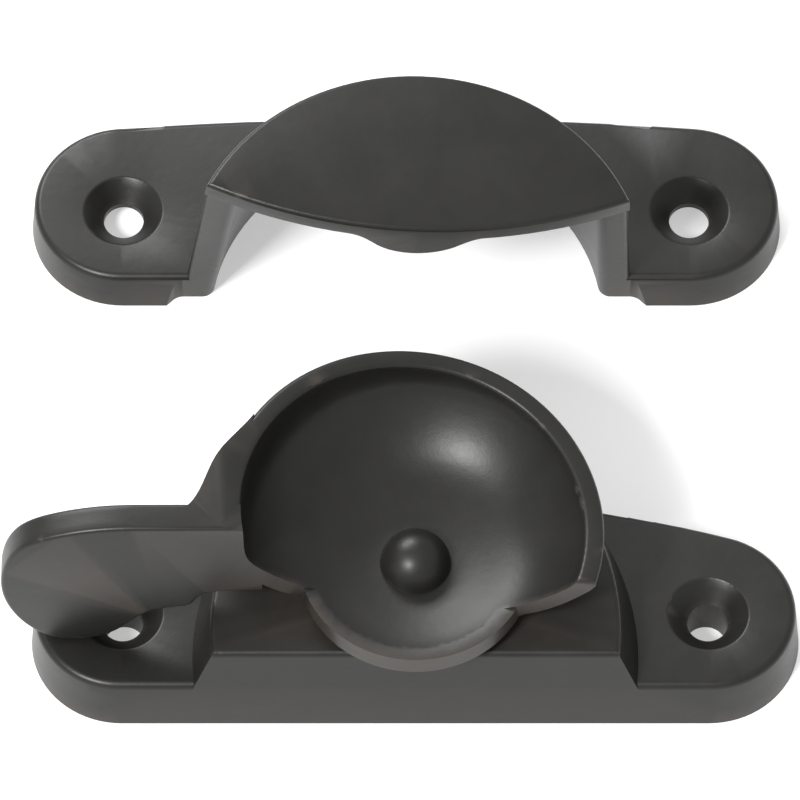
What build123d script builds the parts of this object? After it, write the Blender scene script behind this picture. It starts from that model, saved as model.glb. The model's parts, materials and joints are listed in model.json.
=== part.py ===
from build123d import *
import math
import os

# Window sash lock: a lock and its keeper, both cast, laid out on one mounting plane.
# Millimetres. +X runs along the base, +Y from the lock to the keeper, +Z away from the sashes.
# The origin is on the mounting face, midway between the lock's screw holes.
# The lock is shown locked: its lever points to -X. A turn about +Z opens it.

# Screws, shared by the lock and the keeper
screw_hole_d = 3.8
countersink_d = 7.5
countersink_round = 0.35
hole_spacing = 53.8
draft_angle = 5.0


# Lock base
base_end_margin = 8.6
base_end_radius = 8.5
base_front = 8.1
screw_boss_d = 8.6
wing_height = 6.3
wing_web = 3.4
base_reach = 12.7
base_wall = 2.2
wing_edge_round = 0.7
boss_height = 11.7
boss_web = 2.5
boss_half_width = 18.45
boss_side_angle = 18.0
boss_back_inset = 1.1
boss_shoulder = 0.87
boss_edge_round = 0.6

# Pivot, from the mounting face upwards
pivot_setback = 1.1
journal_d = 4.4
running_clearance = 0.05
bearing_d = 10.0
bearing_length = 4.8
axial_gap = 0.05
thrust_washer_d = 11.0
thrust_washer_t = 0.6
spring_washer_d = 8.4
spring_washer_t = 0.35
spring_washer_h = 0.75
square_side = 3.0
neck_side = 4.6
fit_clearance = 0.03
block_side = 7.0
block_t = 2.4
block_corner = 0.8
tenon_d = 2.4
retaining_washer_d = 6.4
retaining_washer_t = 0.8
peened_d = 4.0
peened_t = 0.7
head_radius = 3.25
head_height = 3.05

# Leaf spring in the base's hollow
leaf_t = 0.5
leaf_width = 2.0
leaf_length = 24.0
leaf_end_length = 3.5
leaf_bow = 1.2
lug_t = 1.3
lug_clearance = 0.1

# Cam: dish, crescent rim and lever
dish_floor_t = 1.75
hub_radius = 10.65
lip_rise = 3.05
rim_radius = 17.4
rim_wall = 1.7
rim_height = 10.35
rim_slope = 0.155
rim_end_setback = 5.4
rim_edge_round = 0.4
lever_t = 2.75
lever_front = 3.5
lever_lean = 4.0
lever_reach = 37.3
lever_edge_round = 0.4
flare_out = 3.4
flare_run = 9.5
flare_toe_round = 1.5
flare_depth = 6.0
lever_wing_gap = 0.45

# Keeper
keeper_x = -0.8
keeper_y = 44.2
keeper_wing_height = 4.5
keeper_web = 2.5
keeper_end_margin = 8.8
keeper_end_radius = 8.8
keeper_front = 7.8
keeper_reach = 10.9
keeper_wall = 2.2
feet_setback = 1.0
mouth_half_width = 18.4
leg_width = 2.9
hood_top = 25.5
hood_slope = 0.097
hood_lean = 3.8
hood_sway = 1.0
hood_half_width = 19.5
hood_depth = 12.65
hood_foot_depth = 19.1
hood_bulge = 4.0
roof_t = 2.3
hood_edge_round = 0.45
leg_inner_round = 1.2
notch_margin = 0.5
notch_round = 1.5
strike_width = 13.4
strike_drop = 3.4
strike_t = 2.2

# Worked out from the sizes above
half_spacing = hole_spacing / 2
base_length = hole_spacing + 2 * base_end_margin
keeper_length = hole_spacing + 2 * keeper_end_margin
draft_run = math.tan(math.radians(draft_angle))
dish_bottom = boss_height + thrust_washer_t + axial_gap
dish_floor = dish_bottom + dish_floor_t
bearing_bottom = boss_height - bearing_length
block_top = bearing_bottom - axial_gap - spring_washer_h
block_bottom = block_top - block_t
rim_top = dish_bottom + rim_height
feet_y = feet_setback - keeper_front


def at_pivot(shape):
    """Moves a shape made about the Z axis to the pivot."""
    return Pos(0, pivot_setback, 0) * shape


def ring(outer_d, inner_d, z, height):
    """A flat ring with its lower face at z."""
    disc = Cylinder(outer_d / 2, height, align=(Align.CENTER, Align.CENTER, Align.MIN))
    hole = Cylinder(inner_d / 2, height * 3)
    return Pos(0, 0, z) * (disc - hole)


def square_bar(side, z_low, z_high):
    """A square bar about the Z axis."""
    return Pos(0, 0, z_low) * Box(side, side, z_high - z_low, align=(Align.CENTER, Align.CENTER, Align.MIN))


def plate_outline(length, radius, front, reach):
    """Long plate: straight front, round ends, and a back that bows out to a reach at its middle."""
    centre_x = length / 2 - radius
    centre_y = radius - front
    bow = reach - centre_y - radius
    arc_y = (bow**2 - centre_x**2) / (2 * bow)
    distance = math.hypot(centre_x, arc_y)
    corner = (centre_x * (1 + radius / distance), centre_y - arc_y * radius / distance)
    mirrored = (-corner[0], corner[1])
    front_edge = Line((-centre_x, -front), (centre_x, -front))
    right = ThreePointArc((centre_x, -front), (length / 2, centre_y), corner)
    back = ThreePointArc(corner, (0, reach), mirrored)
    left = ThreePointArc(mirrored, (-length / 2, centre_y), (-centre_x, -front))
    return make_face([front_edge, right, back, left])


def base_outline():
    return plate_outline(base_length, base_end_radius, base_front, base_reach)


def keeper_outline():
    return plate_outline(keeper_length, keeper_end_radius, keeper_front, keeper_reach)


def screw_bosses():
    """Bosses under the lock's wings, so that the screws clamp metal right down to the mounting face."""
    boss = Cylinder(screw_boss_d / 2, wing_height / 2, align=(Align.CENTER, Align.CENTER, Align.MIN))
    return Pos(-half_spacing, 0, 0) * boss + Pos(half_spacing, 0, 0) * boss


def drill(body, top):
    """Cuts the two countersunk screw holes, sunk from the plane z = top, and softens their mouths."""
    sink_depth = (countersink_d - screw_hole_d) / 2
    hang = (Align.CENTER, Align.CENTER, Align.MAX)
    cone = Cone(screw_hole_d / 2, countersink_d / 2, sink_depth, align=hang)
    hole = cone + Cylinder(screw_hole_d / 2, top * 3)
    for side in (-1, 1):
        body = body - Pos(side * half_spacing, 0, top) * hole
    mouths = [e for e in body.edges().filter_by(GeomType.CIRCLE) if abs(e.radius - countersink_d / 2) < 0.001]
    return fillet(mouths, countersink_round)


def boss_outline(z, inset):
    """The boss's outline at a height, moved in by a wall."""
    below_top = boss_height - z
    half = boss_half_width + below_top * math.tan(math.radians(boss_side_angle)) - inset
    front = -base_front + z * draft_run + inset
    back = base_reach - boss_back_inset + below_top * draft_run - inset
    shoulder_x = half * boss_shoulder
    shoulder_y = back - (back - front) * 0.24
    side_y = front + (back - front) * 0.3
    front_line = Line((-half, front), (half, front))
    right = ThreePointArc((half, front), (half * 1.003, side_y), (shoulder_x, shoulder_y))
    rear = ThreePointArc((shoulder_x, shoulder_y), (0, back), (-shoulder_x, shoulder_y))
    left = ThreePointArc((-shoulder_x, shoulder_y), (-half * 1.003, side_y), (-half, front))
    return Pos(0, 0, z) * make_face([front_line, right, rear, left])


def base_plate():
    wings = extrude(base_outline(), wing_height, taper=draft_angle)
    wings = fillet(wings.edges().group_by(Axis.Z)[-1], wing_edge_round)
    boss = loft([boss_outline(wing_height / 2, 0), boss_outline(boss_height, 0)], ruled=True)
    boss = fillet(boss.edges().group_by(Axis.Z)[-1], boss_edge_round)
    body = wings + boss
    hollow = extrude(offset(base_outline(), -base_wall), wing_height - wing_web)
    boss_top = boss_height - boss_web
    boss_hollow = loft([boss_outline(0, base_wall), boss_outline(boss_top, base_wall)], ruled=True)
    body = body - hollow - boss_hollow
    bearing = ring(bearing_d, journal_d + 2 * running_clearance, bearing_bottom, bearing_length)
    bore = Cylinder(journal_d / 2 + running_clearance, boss_height * 3)
    body = body + at_pivot(bearing) - at_pivot(bore)
    for lug in spring_lugs():
        body = body + lug
    return drill(body + screw_bosses(), wing_height)


def thrust_washer():
    bore_d = journal_d + 2 * running_clearance
    return at_pivot(ring(thrust_washer_d, bore_d, boss_height, thrust_washer_t))


def spring_washer():
    """A shallow conical washer, resting on the detent block's top."""
    inner = journal_d / 2 + 2 * running_clearance
    outer = spring_washer_d / 2
    rise = spring_washer_h - spring_washer_t
    points = [
        (inner, block_top + rise),
        (outer, block_top),
        (outer, block_top + spring_washer_t),
        (inner, block_top + spring_washer_h),
    ]
    section = make_face(Polyline(*points, close=True))
    return at_pivot(revolve(Plane.XZ * section, Axis.Z))


def pivot_stud():
    """Domed head, square neck, round journal, square tail and peened tenon."""
    sphere_radius = (head_radius**2 + head_height**2) / (2 * head_height)
    sphere = Pos(0, 0, dish_floor + head_height - sphere_radius) * Sphere(sphere_radius)
    stand = (Align.CENTER, Align.CENTER, Align.MIN)
    above_floor = Pos(0, 0, dish_floor) * Cylinder(head_radius * 2, head_height * 2, align=stand)
    head = sphere & above_floor
    neck = square_bar(neck_side, dish_bottom, dish_floor)
    journal = Pos(0, 0, block_top) * Cylinder(
        journal_d / 2, dish_bottom - block_top, align=(Align.CENTER, Align.CENTER, Align.MIN)
    )
    tail = square_bar(square_side, block_bottom, block_top)
    tenon_length = retaining_washer_t + peened_t
    tenon = Pos(0, 0, block_bottom) * Cylinder(
        tenon_d / 2, tenon_length, align=(Align.CENTER, Align.CENTER, Align.MAX)
    )
    peened = Pos(0, 0, block_bottom - retaining_washer_t) * Cone(
        peened_d / 2 * 0.7, peened_d / 2, peened_t, align=(Align.CENTER, Align.CENTER, Align.MAX)
    )
    return at_pivot(head + neck + journal + tail + tenon + peened)


def detent_block():
    block = square_bar(block_side, block_bottom, block_top)
    block = chamfer(block.edges().filter_by(Axis.Z), block_corner)
    hole = square_bar(square_side + 2 * fit_clearance, 0, boss_height)
    return at_pivot(block - hole)


def retaining_washer():
    bore_d = tenon_d + 2 * fit_clearance
    return at_pivot(ring(retaining_washer_d, bore_d, block_bottom - retaining_washer_t, retaining_washer_t))


def leaf_path():
    """Flat spring: its middle lies on the block's back flat, its ends lie in the base's lugs."""
    flat_y = pivot_setback + block_side / 2 + leaf_t / 2
    end_y = flat_y + leaf_bow
    half = leaf_length / 2
    inner = half - leaf_end_length
    flat_half = block_side / 2
    left = [(-half, end_y), (-inner, end_y), (-flat_half, flat_y)]
    right = [(flat_half, flat_y), (inner, end_y), (half, end_y)]
    return left + right


def leaf_spring():
    points = leaf_path()
    bend = leaf_t * 4
    path = FilletPolyline(*points, radius=bend)
    strip = make_face(offset(path, leaf_t / 2, side=Side.BOTH, kind=Kind.ARC).edges())
    return Pos(0, 0, block_bottom + (block_t - leaf_width) / 2) * extrude(strip, leaf_width)


def spring_lugs():
    """Two slotted lugs under the boss that hold the leaf spring's ends."""
    x, end_y = leaf_path()[-1]
    low = block_bottom + (block_t - leaf_width) / 2 - lug_clearance
    top = boss_height - boss_web / 2
    slot = leaf_t + 2 * lug_clearance
    lug = Box(leaf_end_length, slot + 2 * lug_t, top - low, align=(Align.CENTER, Align.CENTER, Align.MIN))
    cut_height = leaf_width + 2 * lug_clearance
    cut = Box(leaf_end_length * 2, slot, cut_height, align=(Align.CENTER, Align.CENTER, Align.MIN))
    lug = lug - cut
    lug_x = x - leaf_end_length / 2
    return [Pos(side * lug_x, end_y, low) * lug for side in (-1, 1)]


def bowl_inner():
    """The bowl's inner section, from the flat floor up to the rim."""
    inner_radius = rim_radius - rim_wall
    return Spline(
        (head_radius * 1.05, dish_floor),
        (hub_radius * 0.58, dish_floor + 0.35),
        (hub_radius * 0.94, dish_floor + 1.45),
        (inner_radius - 1.3, dish_floor + 4.8),
        (inner_radius, dish_floor + 8.6),
        tangents=((1, 0), (0, 1)),
    )


def bowl_outer():
    """The bowl's outer section, from the hub's band up to the rim."""
    return Spline(
        (hub_radius, dish_bottom + 0.9),
        (hub_radius + 1.2, dish_bottom + 2.2),
        (rim_radius - 1.5, dish_bottom + 5.6),
        (rim_radius, dish_bottom + 9.2),
        tangents=((0, 1), (0, 1)),
    )


def turned(curve, low, high):
    """The solid inside a section curve, between two heights, turned about the Z axis."""
    edges = [
        curve,
        Line(curve @ 1, ((curve @ 1).X, high)),
        Line(((curve @ 1).X, high), (0, high)),
        Line((0, high), (0, low)),
    ]
    start = curve @ 0
    foot = start.Y - low
    if foot > 0:
        turn = foot * 0.8
        edges.append(Line((0, low), (start.X - turn, low)))
        edges.append(Line((start.X - turn, low), (start.X, low + turn)))
        edges.append(Line((start.X, low + turn), start))
    else:
        edges.append(Line((0, low), start))
    return revolve(Plane.XZ * make_face(edges), Axis.Z)


def lever_profile():
    """Side view of the lever: rounded thumb end, belly over the wing, hooked root, top flush with the rim."""
    low = wing_height + lever_wing_gap
    top = rim_top + rim_slope * rim_radius
    root_x = -rim_radius + 3.5
    outline = Spline(
        (-25.0, top),
        (-31.8, top - 1.1),
        (-35.5, top - 3.2),
        (-lever_reach, top - 7.2),
        (-36.9, low + 5.0),
        (-32.5, low),
        (-27.3, low + 1.35),
        (-23.6, low + 4.9),
        (-20.5, low + 5.75),
        (-17.5, low + 8.3),
        tangents=((-1, 0), (1, 0.3)),
    )
    edges = [
        outline,
        Line(outline @ 1, (root_x, low + 8.6)),
        Line((root_x, low + 8.6), (root_x, rim_top - rim_slope * root_x)),
        Line((root_x, rim_top - rim_slope * root_x), (-rim_radius, top)),
        Line((-rim_radius, top), outline @ 0),
    ]
    return Plane.XZ * make_face(edges)


def lever_face(y):
    """A plane that leans back as the lever does, crossing the dish's floor level at y."""
    lean = math.radians(lever_lean)
    return Plane(origin=(0, y, dish_floor), x_dir=(1, 0, 0), z_dir=(0, -math.cos(lean), math.sin(lean)))


def beyond(plane, shape_align):
    """A block big enough to cut the whole cam, standing on a plane."""
    big = lever_reach * 3
    return plane * Box(big, big, big, align=(shape_align, Align.CENTER, Align.MIN))


def lever():
    """The upright lever, with its long edges rounded."""
    slab = extrude(lever_profile(), lever_t * 4, both=True)
    front = lever_face(-lever_front)
    back = lever_face(lever_t - lever_front)
    slab = slab & beyond(back, Align.CENTER)
    slab = slab - beyond(front, Align.CENTER)
    long_edges = [e for e in slab.edges() if abs((e @ 0).Y - (e @ 1).Y) < lever_t / 2 and e.length > 2
                  and e.center().X < -rim_radius + 1.5]
    return fillet(long_edges, lever_edge_round)


def lever_root():
    """The flare that blends the lever's back into the rim: a long hollow curve with a tight toe."""
    back_y = lever_t - lever_front
    toe_x = -rim_radius - flare_out
    angle = math.asin(flare_run / rim_radius)
    on_rim = (-rim_radius * math.cos(angle), flare_run)
    along_rim = (-math.sin(angle), -math.cos(angle))
    sweep = Spline(
        on_rim,
        (-rim_radius - flare_out * 0.2, flare_run * 0.5),
        (toe_x + flare_toe_round * 0.7, back_y + flare_toe_round),
        (toe_x, back_y + flare_toe_round * 0.25),
        tangents=(along_rim, (-1, -0.4)),
    )
    inside = (-rim_radius + rim_wall * 0.6, back_y - lever_t / 2)
    under_toe = (toe_x, back_y - lever_t / 2)
    face = make_face(sweep.edges() + Polyline(sweep @ 1, under_toe, inside, on_rim).edges())
    return Pos(0, 0, rim_top - flare_depth) * extrude(face, flare_depth + rim_slope * rim_radius)


def rim_and_dish():
    """The bowl with its rim sloped and its front cut down to a thin lip."""
    high = rim_top + rim_slope * rim_radius
    keep = Cylinder(hub_radius, dish_bottom + lip_rise, align=(Align.CENTER, Align.CENTER, Align.MIN))
    left = beyond(lever_face(-lever_front), Align.MAX)
    right_plane = Plane(origin=(0, -rim_end_setback, 0), x_dir=(1, 0, 0), z_dir=(0, -1, 0))
    right = beyond(right_plane, Align.MIN)
    body = turned(bowl_outer(), dish_bottom, high)
    return body - (left - keep) - (right - keep) - turned(bowl_inner(), dish_floor, high)


def on_rim_top(edge):
    """True for an edge that lies in the rim's sloped top."""
    return all(abs(p.Z - rim_top + rim_slope * p.X) < 0.01 for p in (edge @ 0, edge @ 0.5, edge @ 1))


def cam_lever():
    """Dish, crescent rim and lever in one casting."""
    high = rim_top + rim_slope * rim_radius
    slope = math.degrees(math.atan(rim_slope))
    above = Pos(-rim_radius, 0, high) * Rot(0, slope, 0) * beyond(Plane.XY, Align.CENTER)
    body = rim_and_dish() - above
    body = fillet([e for e in body.edges() if on_rim_top(e)], rim_edge_round)
    hollow = turned(bowl_inner(), dish_floor, high)
    body = body + (lever() - hollow) + (lever_root() - above)
    body = body - square_bar(neck_side + 2 * fit_clearance, 0, high)
    return at_pivot(body)


def hood_outline(z, inset, bulge):
    """The hood's outline at a height, moved in by a wall: bowed back, and a front that bulges if asked."""
    rise = z / hood_top
    foot_half = mouth_half_width + leg_width
    half = foot_half + (hood_half_width - foot_half) * rise - inset
    depth = hood_foot_depth + (hood_depth - hood_foot_depth) * rise - inset
    front = feet_y - hood_lean * rise
    back_arc = ThreePointArc((half, front), (0, front + depth), (-half, front))
    front_edge = Line((-half, front), (half, front))
    if bulge:
        front_edge = ThreePointArc((-half, front), (0, front - bulge), (half, front))
    return Pos(hood_sway * rise, 0, z) * make_face([front_edge, back_arc])


def roof_plane(drop):
    """The roof's slope, lowered by a thickness."""
    slope = math.degrees(math.atan(hood_slope))
    return Plane(Pos(0, 0, hood_top - drop) * Rot(0, slope, 0))


def above_roof(drop):
    """Everything above the roof's slope, lowered by a thickness."""
    big = hole_spacing * 2
    return roof_plane(drop) * Box(big, big, big, align=(Align.CENTER, Align.CENTER, Align.MIN))


def strike():
    """The lip that hangs from the middle of the roof's front edge and hooks inside the rim."""
    under = hood_top - roof_t
    half = strike_width / 2
    lobe = Spline(
        (-half, under + 0.6),
        (-half * 0.5, under - strike_drop * 0.6),
        (0, under - strike_drop),
        (half * 0.5, under - strike_drop * 0.68),
        (half, under - 0.6),
        tangents=((1, -0.1), (1, 0)),
    )
    top = under + roof_t / 2
    sides = Polyline((half, under - 0.6), (half, top), (-half, top), (-half, under + 0.6))
    face = Plane.XZ * make_face([lobe] + sides.edges())
    column = Pos(hood_sway, 0, 0) * extrude(face, hood_foot_depth, both=True)
    front = feet_y - hood_lean
    rear = front + hood_depth
    left = (-hood_half_width, front + strike_t)
    right = (hood_half_width, front + strike_t)
    back_arc = ThreePointArc(left, (0, front - hood_bulge + strike_t), right)
    behind = Polyline(right, (hood_half_width, rear), (-hood_half_width, rear), left)
    rear_column = extrude(make_face([back_arc] + behind.edges()), hood_top * 1.3)
    return (column & in_front_of(rear)) - rear_column


def in_front_of(y):
    """Everything nearer the lock than y."""
    big = hole_spacing * 2
    return Pos(0, y, 0) * Box(big, big, big, align=(Align.CENTER, Align.MAX, Align.CENTER))


def in_front_of_legs():
    """The space in front of the legs' leaning faces, with sides that splay out to meet the wings."""
    half = mouth_half_width + leg_width + notch_margin
    depth = hood_foot_depth
    lean = math.degrees(math.atan(hood_lean / hood_top))
    plan = Polyline((-half, 0), (half, 0), (half + depth, -depth), (-half - depth, -depth), close=True)
    block = extrude(make_face(plan), hood_top * 2, both=True)
    uprights = [e for e in block.edges() if abs(e.center().Y) < 0.01 and e.length > hood_top]
    block = fillet(uprights, notch_round)
    return Pos(0, feet_y, 0) * Rot(lean, 0, 0) * block


def on_roof(edge):
    """True for an edge that lies in the roof's top."""
    return all(abs(p.Z - hood_top + hood_slope * p.X) < 0.02 for p in (edge @ 0, edge @ 0.5, edge @ 1))


def leg_edges(body, half_low, half_high):
    """The legs' upright front edges whose middles lie between two half widths."""
    uprights = [e for e in body.edges() if abs((e @ 0).Z - (e @ 1).Z) > hood_top * 0.6]
    return [e for e in uprights if half_low < abs((e @ 0.5).X) < half_high]


def keeper():
    """The strike plate: two countersunk wings and a hood that the rim swings under."""
    high = hood_top * 1.2
    wings = extrude(keeper_outline(), keeper_wing_height, taper=draft_angle)
    wings = fillet(wings.edges().group_by(Axis.Z)[-1], wing_edge_round)
    hood = loft([hood_outline(0, 0, hood_bulge), hood_outline(high, 0, hood_bulge)], ruled=True)
    hollow = loft([hood_outline(0, leg_width, 0), hood_outline(high, leg_width, 0)], ruled=True)
    body = wings + (hood - above_roof(0))
    body = body - ((hollow + in_front_of_legs()) - above_roof(roof_t) - strike())
    middle_x = mouth_half_width - leg_width / 3
    outer = [e for e in body.edges() if on_roof(e)] + leg_edges(body, mouth_half_width, mouth_half_width * 2)
    body = fillet(outer, hood_edge_round)
    body = fillet(leg_edges(body, middle_x - leg_width / 2, mouth_half_width), leg_inner_round)
    recess = extrude(offset(keeper_outline(), -keeper_wall), keeper_wing_height - keeper_web)
    middle = Box(2 * (mouth_half_width + leg_width) + keeper_wall, hole_spacing, hood_top)
    body = body - (recess - middle)
    return Pos(keeper_x, keeper_y, 0) * drill(body, keeper_wing_height)


if __name__ == "__main__":
    os.makedirs("parts", exist_ok=True)
    nodes = {
        "base_plate": base_plate(),
        "thrust_washer": thrust_washer(),
        "spring_washer": spring_washer(),
        "pivot_stud": pivot_stud(),
        "detent_block": detent_block(),
        "retaining_washer": retaining_washer(),
        "leaf_spring": leaf_spring(),
        "cam_lever": cam_lever(),
        "keeper": keeper(),
    }
    for name, shape in nodes.items():
        export_step(shape, f"parts/{name}.step")
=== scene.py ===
import json
import math
import bpy
import bmesh
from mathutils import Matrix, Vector

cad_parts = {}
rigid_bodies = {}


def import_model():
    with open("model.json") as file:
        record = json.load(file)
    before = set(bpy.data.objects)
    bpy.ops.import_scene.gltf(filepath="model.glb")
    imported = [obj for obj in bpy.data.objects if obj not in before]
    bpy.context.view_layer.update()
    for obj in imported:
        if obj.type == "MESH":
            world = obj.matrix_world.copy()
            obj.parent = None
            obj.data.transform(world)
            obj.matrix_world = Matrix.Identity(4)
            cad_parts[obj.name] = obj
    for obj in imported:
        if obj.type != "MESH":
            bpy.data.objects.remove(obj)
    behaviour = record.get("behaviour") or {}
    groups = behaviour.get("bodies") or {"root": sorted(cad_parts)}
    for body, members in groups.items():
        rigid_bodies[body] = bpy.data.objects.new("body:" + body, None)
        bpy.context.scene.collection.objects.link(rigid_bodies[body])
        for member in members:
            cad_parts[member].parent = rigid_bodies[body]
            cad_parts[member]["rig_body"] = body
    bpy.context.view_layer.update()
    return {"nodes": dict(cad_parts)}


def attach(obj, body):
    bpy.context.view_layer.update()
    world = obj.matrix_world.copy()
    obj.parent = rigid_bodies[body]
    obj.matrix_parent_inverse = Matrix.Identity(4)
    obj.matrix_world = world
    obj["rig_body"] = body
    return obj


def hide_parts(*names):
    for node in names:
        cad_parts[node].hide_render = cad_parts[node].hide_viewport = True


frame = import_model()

print("frame loaded")

# The castings share one black coat, browner where its edges are worn. All sizes are in metres.

view = {
    "elevation": 60.5,  # degrees above the floor
    "azimuth": 0.0,
    "target": (-0.0014, 0.0261, 0.0),
    "distance": 0.70,
    "lens": 334.0,  # millimetres, as is the sensor
    "sensor": 36.0,
    "clipStart": 0.01,
}


def addCamera():
    camData = bpy.data.cameras.new("camera")
    camData.lens = view["lens"]
    camData.sensor_width = view["sensor"]
    camData.clip_start = view["clipStart"]
    camera = bpy.data.objects.new("camera", camData)
    bpy.context.scene.collection.objects.link(camera)
    elevation = math.radians(view["elevation"])
    azimuth = math.radians(view["azimuth"])
    away = Vector((
        math.sin(azimuth) * math.cos(elevation),
        -math.cos(azimuth) * math.cos(elevation),
        math.sin(elevation),
    ))
    camera.location = Vector(view["target"]) + away * view["distance"]
    camera.rotation_euler = (math.pi / 2 - elevation, 0, azimuth)
    bpy.context.scene.camera = camera


addCamera()
print("camera placed")


# Shader groups: each gives a mask or a value that several finishes use

def newGroup(name, inputs, outputs):
    group = bpy.data.node_groups.new(name, "ShaderNodeTree")
    for label, kind, value in inputs:
        socket = group.interface.new_socket(name=label, in_out="INPUT", socket_type=kind)
        if value is not None:
            socket.default_value = value
    for label, kind in outputs:
        group.interface.new_socket(name=label, in_out="OUTPUT", socket_type=kind)
    start = group.nodes.new("NodeGroupInput")
    end = group.nodes.new("NodeGroupOutput")
    return group, start, end


def addNode(tree, kind, **settings):
    node = tree.nodes.new(kind)
    for key, value in settings.items():
        setattr(node, key, value)
    return node


def addMath(tree, operation, first, second, clamp=False):
    node = addNode(tree, "ShaderNodeMath", operation=operation, use_clamp=clamp)
    for index, value in enumerate((first, second)):
        if isinstance(value, (int, float)):
            node.inputs[index].default_value = value
        else:
            tree.links.new(value, node.inputs[index])
    return node.outputs[0]


def addNoise(tree, vector, scale, detail, roughness=0.5):
    node = addNode(tree, "ShaderNodeTexNoise", noise_dimensions="3D")
    node.inputs["Detail"].default_value = detail
    node.inputs["Roughness"].default_value = roughness
    if isinstance(scale, (int, float)):
        node.inputs["Scale"].default_value = scale
    else:
        tree.links.new(scale, node.inputs["Scale"])
    tree.links.new(vector, node.inputs["Vector"])
    return node.outputs["Fac"]


def makeCoatGrain():
    # height of the coat's orange peel and fine grit
    group, start, end = newGroup(
        "coatGrain",
        [("Vector", "NodeSocketVector", None), ("Peel Scale", "NodeSocketFloat", 900.0),
         ("Grit Scale", "NodeSocketFloat", 5200.0), ("Grit", "NodeSocketFloat", 0.4)],
        [("Height", "NodeSocketFloat")],
    )
    peel = addNoise(group, start.outputs["Vector"], start.outputs["Peel Scale"], 2.0)
    grit = addNoise(group, start.outputs["Vector"], start.outputs["Grit Scale"], 1.0)
    gritPart = addMath(group, "MULTIPLY", grit, start.outputs["Grit"])
    group.links.new(addMath(group, "ADD", peel, gritPart), end.inputs["Height"])
    return group


def makeMottle():
    # slow cloudy change from place to place, 0 to 1
    group, start, end = newGroup(
        "mottle",
        [("Vector", "NodeSocketVector", None), ("Scale", "NodeSocketFloat", 120.0),
         ("Contrast", "NodeSocketFloat", 2.0)],
        [("Mask", "NodeSocketFloat")],
    )
    cloud = addNoise(group, start.outputs["Vector"], start.outputs["Scale"], 4.0, 0.6)
    centred = addMath(group, "SUBTRACT", cloud, 0.5)
    spread = addMath(group, "MULTIPLY", centred, start.outputs["Contrast"])
    group.links.new(addMath(group, "ADD", spread, 0.5, clamp=True), end.inputs["Mask"])
    return group


wearPatches = {"scale": 700.0, "detail": 3.0}


def makeEdgeWear():
    # 1 on convex edges, broken up by noise
    group, start, end = newGroup(
        "edgeWear",
        [("Vector", "NodeSocketVector", None), ("Pointiness", "NodeSocketFloat", 0.5),
         ("Low", "NodeSocketFloat", 0.52), ("High", "NodeSocketFloat", 0.6),
         ("Breakup", "NodeSocketFloat", 0.5)],
        [("Mask", "NodeSocketFloat")],
    )
    ramp = addNode(group, "ShaderNodeMapRange", clamp=True)
    group.links.new(start.outputs["Pointiness"], ramp.inputs["Value"])
    group.links.new(start.outputs["Low"], ramp.inputs["From Min"])
    group.links.new(start.outputs["High"], ramp.inputs["From Max"])
    patch = addNoise(group, start.outputs["Vector"], wearPatches["scale"], wearPatches["detail"])
    broken = addMath(group, "MULTIPLY", patch, start.outputs["Breakup"])
    kept = addMath(group, "SUBTRACT", 1.0, broken)
    group.links.new(addMath(group, "MULTIPLY", ramp.outputs["Result"], kept), end.inputs["Mask"])
    return group


coatGrain = makeCoatGrain()
mottle = makeMottle()
edgeWear = makeEdgeWear()
print("shader groups made")


def placeGroup(tree, group, vector, **values):
    node = addNode(tree, "ShaderNodeGroup", node_tree=group)
    tree.links.new(vector, node.inputs["Vector"])
    for label, value in values.items():
        node.inputs[label.replace("_", " ")].default_value = value
    return node


def mixColor(tree, mask, first, second):
    node = addNode(tree, "ShaderNodeMix", data_type="RGBA")
    tree.links.new(mask, node.inputs["Factor"])
    for socket, value in ((node.inputs[6], first), (node.inputs[7], second)):
        if isinstance(value, tuple):
            socket.default_value = (*value, 1.0)
        else:
            tree.links.new(value, socket)
    return node.outputs[2]


def mapTo(tree, value, low, high):
    node = addNode(tree, "ShaderNodeMapRange")
    tree.links.new(value, node.inputs["Value"])
    node.inputs["To Min"].default_value = low
    node.inputs["To Max"].default_value = high
    return node.outputs["Result"]


def blackCoat(name, look):
    material = bpy.data.materials.new(name)
    material.use_nodes = True
    tree = material.node_tree
    shader = tree.nodes["Principled BSDF"]
    vector = addNode(tree, "ShaderNodeTexCoord").outputs["Object"]
    clouds = placeGroup(tree, mottle, vector, Scale=look["cloudScale"], Contrast=look["cloudContrast"])
    fine = placeGroup(tree, mottle, vector, Scale=look["speckScale"], Contrast=look["speckContrast"])
    color = mixColor(tree, clouds.outputs["Mask"], look["dark"], look["light"])
    geometry = addNode(tree, "ShaderNodeNewGeometry")
    wear = placeGroup(tree, edgeWear, vector, Low=look["wearLow"], High=look["wearHigh"])
    tree.links.new(geometry.outputs["Pointiness"], wear.inputs["Pointiness"])
    wearMask = addMath(tree, "MULTIPLY", wear.outputs["Mask"], look["wearAmount"])
    worn = mixColor(tree, wearMask, color, look["worn"])
    tree.links.new(worn, shader.inputs["Base Color"])
    sheenVaries = addMath(tree, "MULTIPLY", clouds.outputs["Mask"], look["cloudShare"])
    sheenFine = addMath(tree, "MULTIPLY", fine.outputs["Mask"], look["speckShare"])
    sheen = addMath(tree, "ADD", sheenVaries, sheenFine)
    tree.links.new(mapTo(tree, sheen, look["roughLow"], look["roughHigh"]), shader.inputs["Roughness"])
    grain = placeGroup(tree, coatGrain, vector, Peel_Scale=look["peelScale"], Grit_Scale=look["gritScale"],
                       Grit=look["grit"])
    bump = addNode(tree, "ShaderNodeBump")
    bump.inputs["Strength"].default_value = look["bumpStrength"]
    bump.inputs["Distance"].default_value = look["bumpDepth"]
    tree.links.new(grain.outputs["Height"], bump.inputs["Height"])
    tree.links.new(bump.outputs["Normal"], shader.inputs["Normal"])
    shader.inputs["Metallic"].default_value = look["metallic"]
    shader.inputs["Specular IOR Level"].default_value = look["specular"]
    return material


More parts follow.
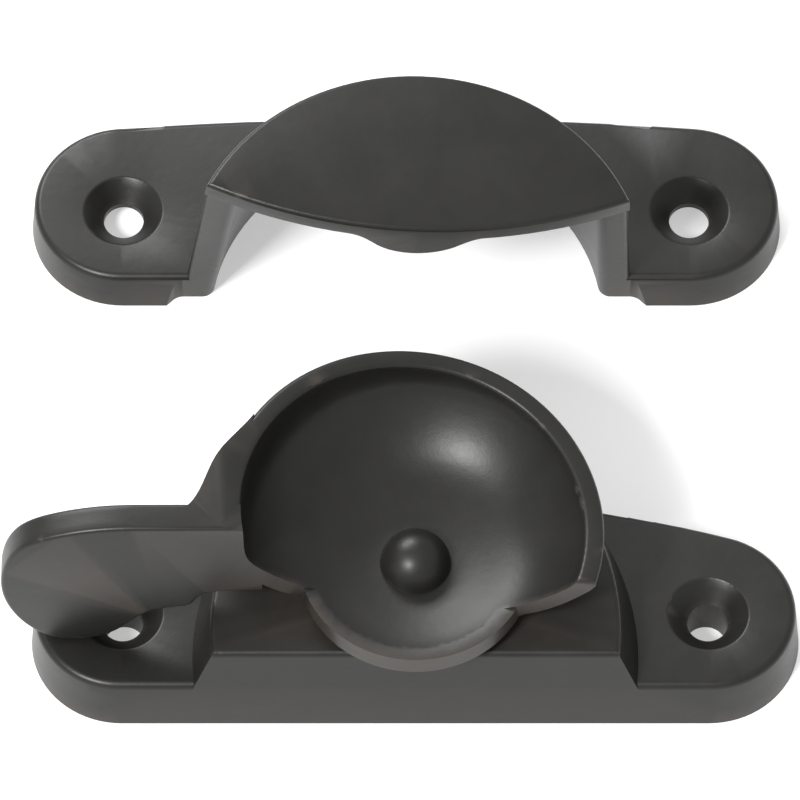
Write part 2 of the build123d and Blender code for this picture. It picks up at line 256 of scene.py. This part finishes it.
castLook = {
    "dark": (0.0080, 0.0078, 0.0071), "light": (0.0125, 0.0121, 0.0108), "worn": (0.060, 0.050, 0.040),
    "cloudScale": 140.0, "cloudContrast": 2.2, "speckScale": 2600.0, "speckContrast": 1.6,
    "cloudShare": 0.6, "speckShare": 0.4,
    "roughLow": 0.34, "roughHigh": 0.42, "metallic": 0.0, "specular": 0.33,
    "peelScale": 1100.0, "gritScale": 5200.0, "grit": 0.35, "bumpStrength": 0.35, "bumpDepth": 0.00003,
    "wearLow": 0.53, "wearHigh": 0.60, "wearAmount": 0.5,
}
studLook = dict(castLook, roughLow=0.34, roughHigh=0.46, wearAmount=0.3, cloudScale=300.0)


# what both bare steels have in common
steel = {"cloudContrast": 2.5, "gritScale": 6000.0, "grit": 0.3, "bumpStrength": 0.3, "bumpDepth": 0.00002}


def plainSteel(name, look):
    material = bpy.data.materials.new(name)
    material.use_nodes = True
    tree = material.node_tree
    shader = tree.nodes["Principled BSDF"]
    vector = addNode(tree, "ShaderNodeTexCoord").outputs["Object"]
    clouds = placeGroup(tree, mottle, vector, Scale=look["cloudScale"], Contrast=steel["cloudContrast"])
    color = mixColor(tree, clouds.outputs["Mask"], look["dark"], look["light"])
    tree.links.new(color, shader.inputs["Base Color"])
    roughness = mapTo(tree, clouds.outputs["Mask"], look["roughLow"], look["roughHigh"])
    tree.links.new(roughness, shader.inputs["Roughness"])
    grain = placeGroup(tree, coatGrain, vector, Peel_Scale=look["peelScale"],
                       Grit_Scale=steel["gritScale"], Grit=steel["grit"])
    bump = addNode(tree, "ShaderNodeBump")
    bump.inputs["Strength"].default_value = steel["bumpStrength"]
    bump.inputs["Distance"].default_value = steel["bumpDepth"]
    tree.links.new(grain.outputs["Height"], bump.inputs["Height"])
    tree.links.new(bump.outputs["Normal"], shader.inputs["Normal"])
    shader.inputs["Metallic"].default_value = 1.0
    return material


zincLook = {"dark": (0.42, 0.42, 0.40), "light": (0.62, 0.62, 0.60), "cloudScale": 400.0,
            "roughLow": 0.3, "roughHigh": 0.5, "peelScale": 1800.0}
springLook = {"dark": (0.10, 0.11, 0.14), "light": (0.22, 0.22, 0.25), "cloudScale": 300.0,
              "roughLow": 0.25, "roughHigh": 0.4, "peelScale": 1500.0}

castCoat = blackCoat("castCoat", castLook)
studCoat = blackCoat("studCoat", studLook)
zincPlate = plainSteel("zincPlate", zincLook)
springSteel = plainSteel("springSteel", springLook)
finishes = {
    "base_plate": castCoat, "cam_lever": castCoat, "keeper": castCoat, "pivot_stud": studCoat,
    "thrust_washer": zincPlate, "detent_block": zincPlate, "retaining_washer": zincPlate,
    "spring_washer": springSteel, "leaf_spring": springSteel,
}
print("finishes made")


# Castings: the CAD meshes merged and smoothed, so that curved walls shade as one surface

smoothing = {"mergeDistance": 0.000002, "sharpAngle": 32.0}


def fineCopy(nodeName):
    source = frame["nodes"][nodeName]
    mesh = bpy.data.meshes.new(nodeName + "_fine")
    work = bmesh.new()
    work.from_mesh(source.data)
    bmesh.ops.remove_doubles(work, verts=work.verts[:], dist=smoothing["mergeDistance"])
    bmesh.ops.dissolve_degenerate(work, edges=work.edges[:], dist=smoothing["mergeDistance"])
    limit = math.radians(smoothing["sharpAngle"])
    for face in work.faces:
        face.smooth = True
    for edge in work.edges:
        if len(edge.link_faces) == 2:
            edge.smooth = edge.calc_face_angle() < limit
    work.to_mesh(mesh)
    work.free()
    piece = bpy.data.objects.new(nodeName + "_fine", mesh)
    bpy.context.scene.collection.objects.link(piece)
    mesh.materials.clear()
    mesh.materials.append(finishes[nodeName])
    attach(piece, source["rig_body"])
    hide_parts(nodeName)
    return piece


for nodeName in finishes:
    piece = fineCopy(nodeName)
print("pieces made")


studio = {
    "floorSize": 6.0, "floorColor": (0.6, 0.6, 0.6), "floorRoughness": 0.9,
    "floorGlow": 0.45,  # lifts the floor to white and softens its shadows
    "floorDrop": 0.0001,
    "skyStrength": 0.75,
}
keyBox = {"place": (-0.42, -0.50, 0.86), "size": (0.20, 0.20), "power": 13.0}
backBox = {"place": (-0.35, 0.75, 0.7), "size": (0.6, 0.35), "power": 9.0}
lightAim = (0, 0.02, 0)


def addFloor():
    work = bmesh.new()
    bmesh.ops.create_grid(work, x_segments=1, y_segments=1, size=studio["floorSize"] / 2)
    mesh = bpy.data.meshes.new("floor")
    work.to_mesh(mesh)
    work.free()
    floor = bpy.data.objects.new("floor", mesh)
    bpy.context.scene.collection.objects.link(floor)
    material = bpy.data.materials.new("floorPaint")
    material.use_nodes = True
    shader = material.node_tree.nodes["Principled BSDF"]
    shader.inputs["Base Color"].default_value = (*studio["floorColor"], 1.0)
    shader.inputs["Roughness"].default_value = studio["floorRoughness"]
    shader.inputs["Emission Color"].default_value = (1, 1, 1, 1)
    shader.inputs["Emission Strength"].default_value = studio["floorGlow"]
    mesh.materials.append(material)
    floor.location = (0, 0, -studio["floorDrop"])


def addSoftbox(name, box):
    lightData = bpy.data.lights.new(name, "AREA")
    lightData.shape = "RECTANGLE"
    lightData.size, lightData.size_y = box["size"]
    lightData.energy = box["power"]
    light = bpy.data.objects.new(name, lightData)
    light.location = box["place"]
    toAim = Vector(lightAim) - Vector(box["place"])
    light.rotation_euler = toAim.to_track_quat("-Z", "Y").to_euler()
    bpy.context.scene.collection.objects.link(light)


def addWorld():
    world = bpy.data.worlds.new("studio")
    world.use_nodes = True
    world.node_tree.nodes["Background"].inputs["Color"].default_value = (1, 1, 1, 1)
    world.node_tree.nodes["Background"].inputs["Strength"].default_value = studio["skyStrength"]
    bpy.context.scene.world = world


addFloor()
addWorld()
addSoftbox("keySoftbox", keyBox)
addSoftbox("backSoftbox", backBox)
bpy.context.scene.view_settings.view_transform = "Standard"
print("studio lit")
